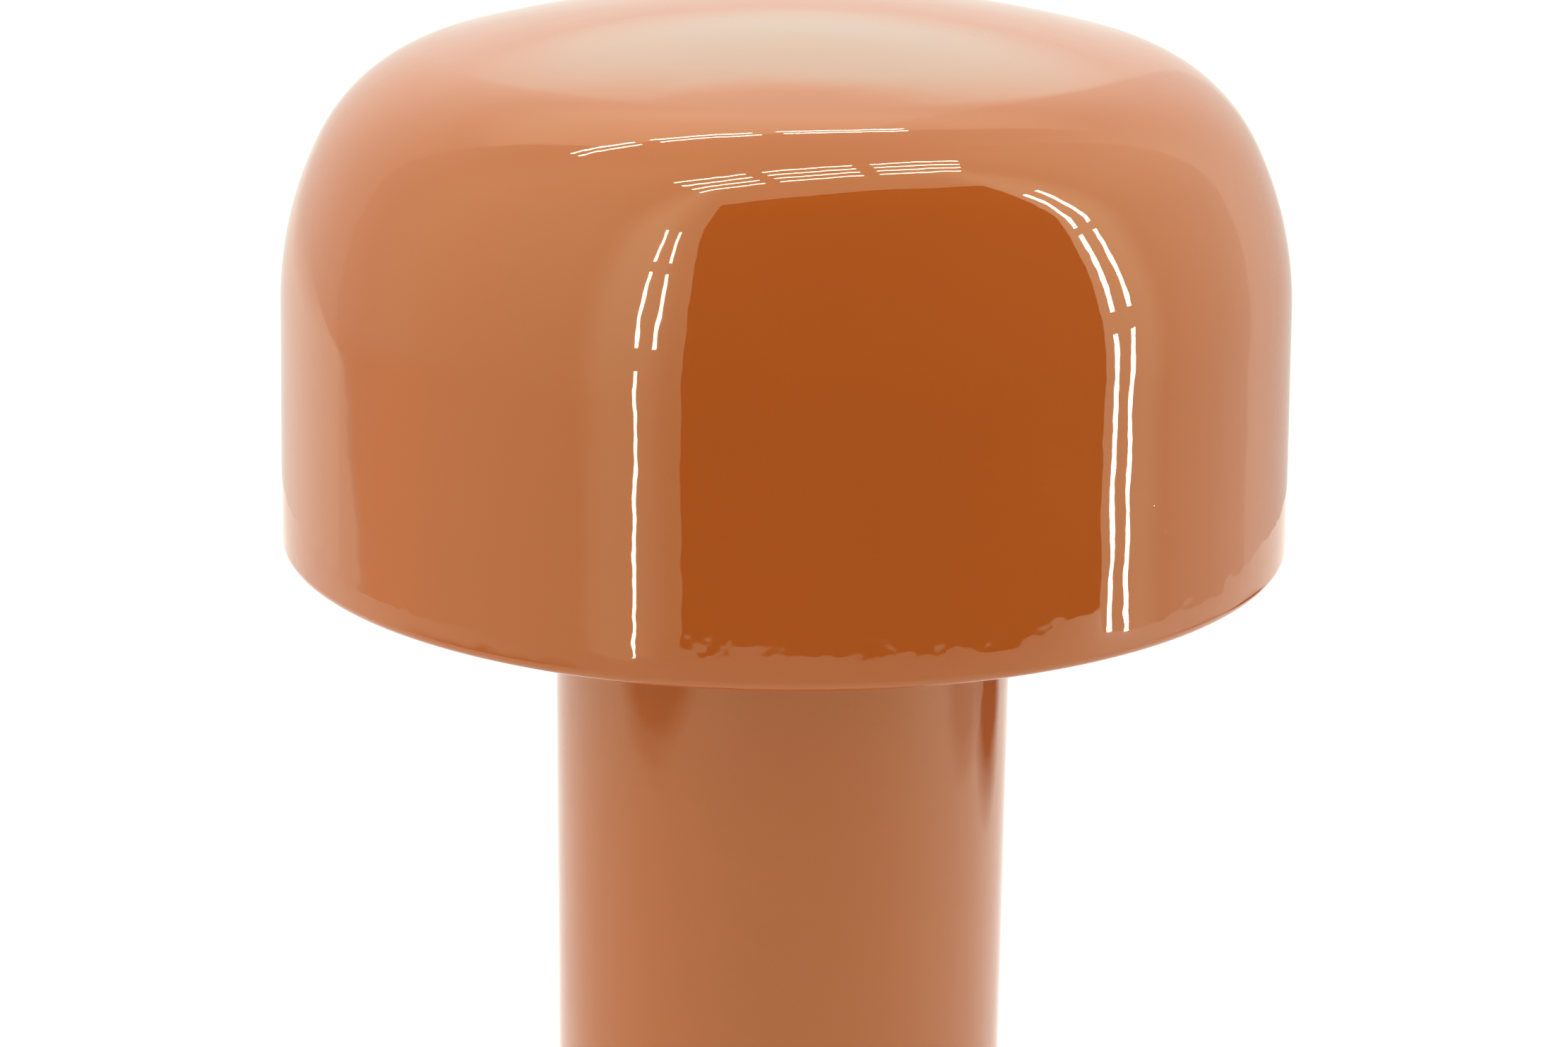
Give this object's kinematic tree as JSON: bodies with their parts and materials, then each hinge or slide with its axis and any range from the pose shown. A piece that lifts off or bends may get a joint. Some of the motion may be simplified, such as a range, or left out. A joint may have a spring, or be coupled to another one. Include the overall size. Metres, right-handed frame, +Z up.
{
  "type": "table lamp",
  "caption": "Portable table lamp: glossy domed shade that lifts off a post, straight round stem with a flared foot, push button and charging port.",
  "frame": {"origin": "on the table, below the lamp's axis", "axes": "+Z up along the stem; the push button faces -Y and the charging port faces +Y"},
  "size_m": [0.125, 0.125, 0.21],
  "materials": {
    "shade_gloss": "high gloss",
    "reflector_white": "satin",
    "opal_white": "satin, translucent",
    "turned_aluminium": "satin",
    "zinc_steel": "zinc plated",
    "soft_black": "matte",
    "soft_clear": "matte, silicone",
    "board_white": "solder resist",
    "board_green": "solder resist",
    "phosphor": "satin",
    "connector_white": "satin",
    "cage_black": "fine grain",
    "component_black": "satin",
    "cell_wrap": "shrink film",
    "nickel_strip": "bright",
    "foam_grey": "foam",
    "ballast_iron": "ground",
    "port_steel": "bright",
    "clear_pipe": "clear",
    "capacitor_tan": "satin",
    "wire_red": "satin",
    "wire_white": "satin",
    "wire_yellow": "satin"
  },
  "bodies": {
    "lamp": {"shade_post": "turned_aluminium", "post_o_ring": "soft_black", "post_washer": "zinc_steel", "post_nut": "zinc_steel", "diffuser": "opal_white", "diffuser_washer": "soft_clear", "heat_sink": "turned_aluminium", "wire_grommet": "soft_black", "heat_sink_screws": "zinc_steel", "thermal_pad": "foam_grey", "led_board": "board_white", "led_chips": "phosphor", "led_board_screws": "zinc_steel", "led_connector": "connector_white", "stem_shell": "shade_gloss", "switch_body": "component_black", "switch_board": "board_green", "switch_board_screws": "zinc_steel", "battery_cage": "cage_black", "battery_cells": "cell_wrap", "cell_links": "nickel_strip", "cell_pad": "foam_grey", "ballast": "ballast_iron", "cage_screws": "zinc_steel", "control_board": "board_green", "control_board_screws": "zinc_steel", "charger_chip": "component_black", "power_coil": "component_black", "board_capacitors": "capacitor_tan", "usb_shell": "port_steel", "usb_tongue": "component_black", "light_pipe": "clear_pipe", "charge_light": "connector_white", "led_leads": "wire_white", "battery_leads": "wire_red", "switch_leads": "wire_yellow", "base_cover": "cage_black", "base_cover_screws": "zinc_steel", "foot_ring": "soft_black"},
    "shade": {"shade_shell": "shade_gloss", "shade_liner": "reflector_white", "shade_hub": "reflector_white", "hub_screws": "zinc_steel"},
    "button": {"push_button": "shade_gloss", "switch_plunger": "component_black"}
  },
  "joints": [
    {"name": "shade_lift", "type": "slide", "parent": "lamp", "child": "shade", "axis": [0, 0, 1], "range_m": [0, 0.075]},
    {"name": "button_press", "type": "slide", "parent": "lamp", "child": "button", "axis": [0, 1, 0], "range_m": [0, 0.0008], "stiffness_N_per_m": 800, "springref_m": -0.001}
  ]
}
